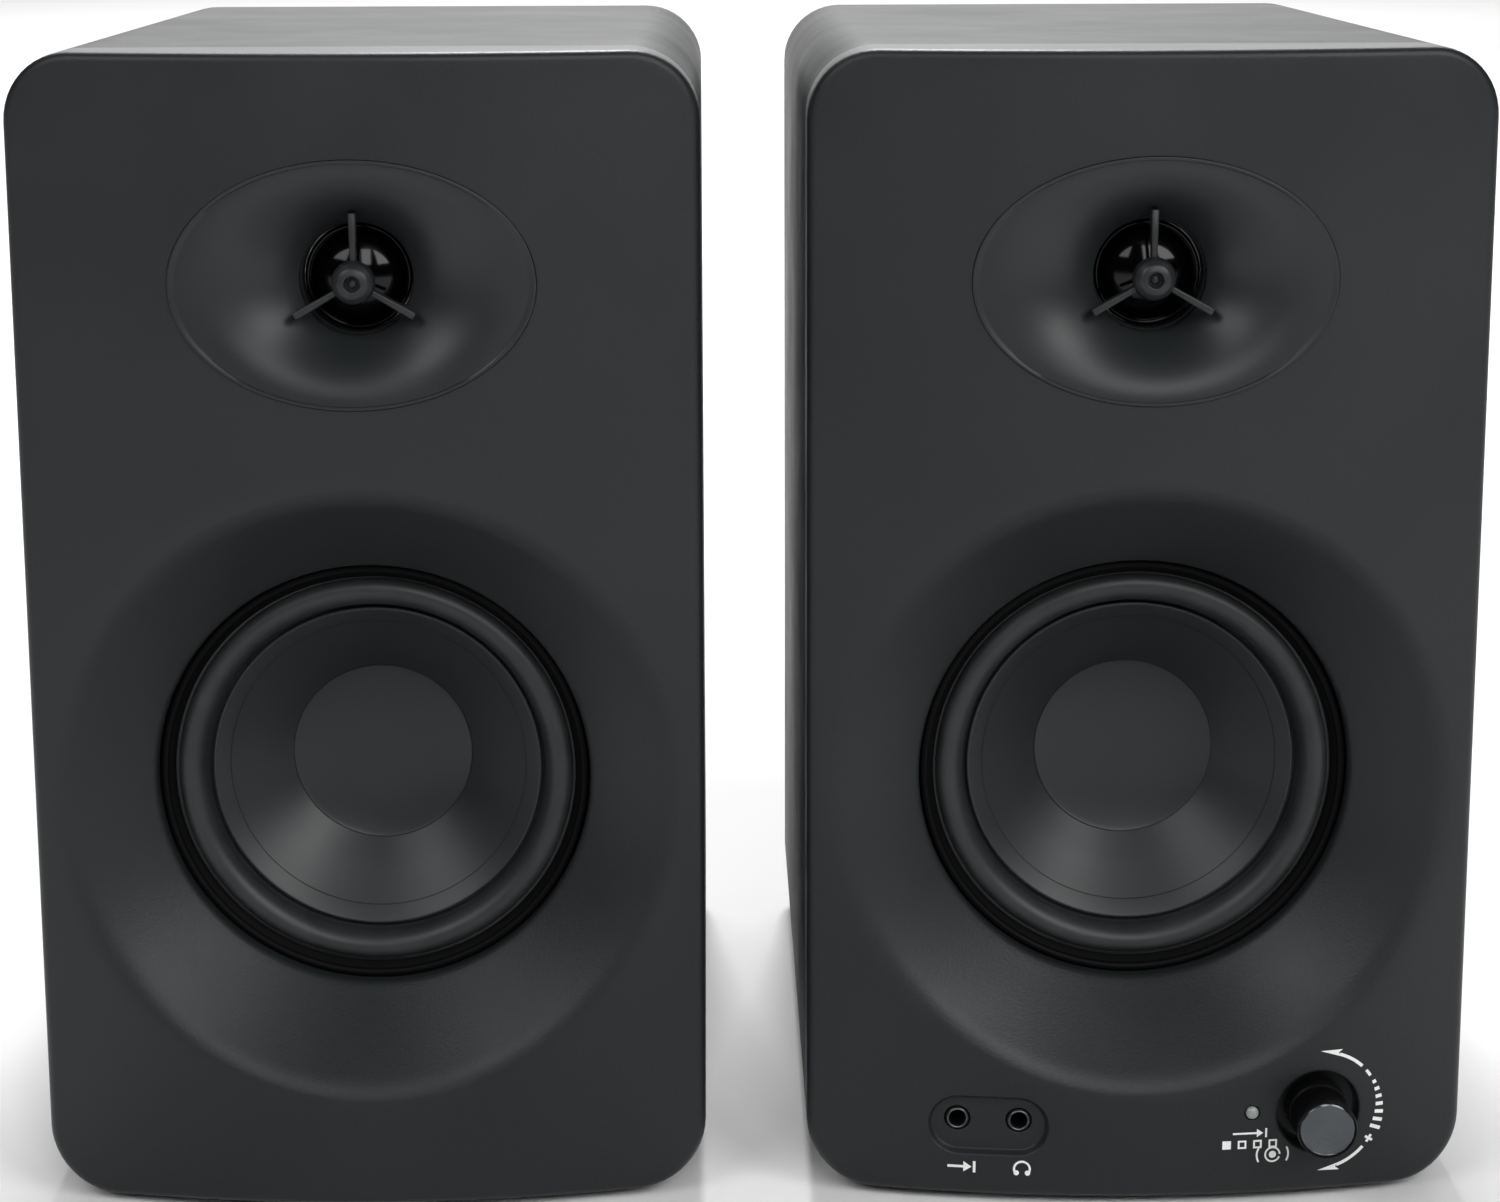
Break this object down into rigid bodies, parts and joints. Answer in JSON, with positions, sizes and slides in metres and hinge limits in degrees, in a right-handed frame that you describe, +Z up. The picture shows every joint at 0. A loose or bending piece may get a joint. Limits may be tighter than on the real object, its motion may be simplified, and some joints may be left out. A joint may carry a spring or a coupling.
{
  "type": "desktop speakers",
  "caption": "Free-standing two-way desktop monitors, one powered and one passive, with bowed fronts, horn tweeters, rear ports and a push-and-turn control.",
  "frame": {"origin": "centre of the pair's footprint, on the surface that the speakers stand on", "axes": "+Z up, fronts face -Y, +X from the passive speaker to the powered one"},
  "size_m": [0.3274, 0.2366, 0.265],
  "materials": {
    "cabinet_vinyl": "fibreboard wrapped in charcoal vinyl, satin, very fine grain",
    "baffle_plastic": "charcoal moulding, satin, fine pebble texture",
    "horn_plastic": "charcoal moulding, smoother satin",
    "dome_film": "coated black film, glossy",
    "black_plastic": "black moulding, semi-matte",
    "zinc_steel": "zinc-plated steel",
    "surround_rubber": "soft butyl rubber, low sheen",
    "cone_sheet": "mineral-filled polypropylene, satin",
    "coil_copper": "enamelled copper wire",
    "spider_cloth": "resin-dipped corrugated cloth",
    "basket_steel": "pressed steel, black paint",
    "ferrite": "sintered ferrite, dark grey",
    "foot_rubber": "foam rubber strip, matte",
    "circuit_board": "solder-masked board with parts",
    "red_plastic": "red moulding",
    "panel_aluminium": "black anodised aluminium, fine satin",
    "core_steel": "laminated steel core and tape",
    "rocker_plastic": "black moulding, glossy",
    "socket_metal": "nickel plate",
    "led_lens": "milky diffused lens, unlit",
    "print_ink": "white pad-printed marks",
    "knob_metal": "black anodised knob with a spun face"
  },
  "bodies": {
    "root": {"left_cabinet": "cabinet_vinyl", "left_front_baffle": "baffle_plastic", "left_waveguide": "horn_plastic", "left_phase_plug": "horn_plastic", "left_tweeter_ring": "black_plastic", "left_tweeter_motor": "zinc_steel", "left_woofer_trim": "black_plastic", "left_woofer_surround": "surround_rubber", "left_spider": "spider_cloth", "left_woofer_basket": "basket_steel", "left_woofer_magnet": "ferrite", "left_woofer_yoke": "zinc_steel", "left_port_tube": "black_plastic", "left_foot_front": "foot_rubber", "left_foot_rear": "foot_rubber", "left_terminal_cup": "black_plastic", "left_crossover_board": "circuit_board", "right_cabinet": "cabinet_vinyl", "right_front_baffle": "baffle_plastic", "right_waveguide": "horn_plastic", "right_phase_plug": "horn_plastic", "right_tweeter_ring": "black_plastic", "right_tweeter_motor": "zinc_steel", "right_woofer_trim": "black_plastic", "right_woofer_surround": "surround_rubber", "right_spider": "spider_cloth", "right_woofer_basket": "basket_steel", "right_woofer_magnet": "ferrite", "right_woofer_yoke": "zinc_steel", "right_port_tube": "black_plastic", "right_foot_front": "foot_rubber", "right_foot_rear": "foot_rubber", "right_amp_panel": "panel_aluminium", "right_amp_board": "circuit_board", "right_transformer": "core_steel", "right_mains_inlet": "black_plastic", "right_switch_body": "black_plastic", "right_terminal_block": "black_plastic", "right_aux_socket": "socket_metal", "right_headphone_socket": "socket_metal", "right_status_led": "led_lens", "right_control_board": "circuit_board", "right_encoder_body": "zinc_steel"},
    "left_woofer_motion": {"left_woofer_cone": "cone_sheet", "left_dust_cap": "cone_sheet", "left_voice_coil": "coil_copper"},
    "left_tweeter_motion": {"left_tweeter_dome": "dome_film"},
    "left_red_clip": {"left_clip_lever_red": "red_plastic"},
    "left_black_clip": {"left_clip_lever_black": "black_plastic"},
    "right_woofer_motion": {"right_woofer_cone": "cone_sheet", "right_dust_cap": "cone_sheet", "right_voice_coil": "coil_copper"},
    "right_tweeter_motion": {"right_tweeter_dome": "dome_film"},
    "right_red_clip": {"right_clip_lever_red": "red_plastic"},
    "right_black_clip": {"right_clip_lever_black": "black_plastic"},
    "power_rocker": {"right_power_rocker": "rocker_plastic"},
    "encoder_rotor": {"right_encoder_rotor": "black_plastic"},
    "volume_knob": {"right_volume_knob": "knob_metal", "right_encoder_shaft": "socket_metal"}
  },
  "joints": [
    {"name": "left_woofer_travel", "type": "slide", "parent": "root", "child": "left_woofer_motion", "axis": [0, -1, 0], "range_m": [-0.003, 0.003], "stiffness_N_per_m": 800, "deforming": ["left_woofer_surround", "left_spider"]},
    {"name": "left_tweeter_travel", "type": "slide", "parent": "root", "child": "left_tweeter_motion", "axis": [0, -1, 0], "range_m": [-0.0003, 0.0003], "stiffness_N_per_m": 500},
    {"name": "left_red_clip_press", "type": "hinge", "parent": "root", "child": "left_red_clip", "pos_m": [-0.09525, 0.09503, 0.073], "axis": [-1, 0, 0], "range_deg": [0, 18], "stiffness_Nm_per_rad": 0.02, "springref_deg": -17.19},
    {"name": "left_black_clip_press", "type": "hinge", "parent": "root", "child": "left_black_clip", "pos_m": [-0.08025, 0.09503, 0.073], "axis": [-1, 0, 0], "range_deg": [0, 18], "stiffness_Nm_per_rad": 0.02, "springref_deg": -17.19},
    {"name": "right_woofer_travel", "type": "slide", "parent": "root", "child": "right_woofer_motion", "axis": [0, -1, 0], "range_m": [-0.003, 0.003], "stiffness_N_per_m": 800, "deforming": ["right_woofer_surround", "right_spider"]},
    {"name": "right_tweeter_travel", "type": "slide", "parent": "root", "child": "right_tweeter_motion", "axis": [0, -1, 0], "range_m": [-0.0003, 0.0003], "stiffness_N_per_m": 500},
    {"name": "right_red_clip_press", "type": "hinge", "parent": "root", "child": "right_red_clip", "pos_m": [0.11225, 0.10283, 0.088], "axis": [-1, 0, 0], "range_deg": [0, 18], "stiffness_Nm_per_rad": 0.02, "springref_deg": -17.19},
    {"name": "right_black_clip_press", "type": "hinge", "parent": "root", "child": "right_black_clip", "pos_m": [0.12725, 0.10283, 0.088], "axis": [-1, 0, 0], "range_deg": [0, 18], "stiffness_Nm_per_rad": 0.02, "springref_deg": -17.19},
    {"name": "power_rocker_tip", "type": "hinge", "parent": "root", "child": "power_rocker", "pos_m": [0.09575, 0.10843, 0.036], "axis": [1, 0, 0], "range_deg": [-14, 0]},
    {"name": "volume_turn", "type": "hinge", "parent": "root", "child": "encoder_rotor", "pos_m": [0.12935, -0.09637, 0.0216], "axis": [0, -1, 0], "continuous": true},
    {"name": "input_push", "type": "slide", "parent": "encoder_rotor", "child": "volume_knob", "axis": [0, 1, 0], "range_m": [0, 0.0008], "stiffness_N_per_m": 1500, "springref_m": -0.0015}
  ]
}
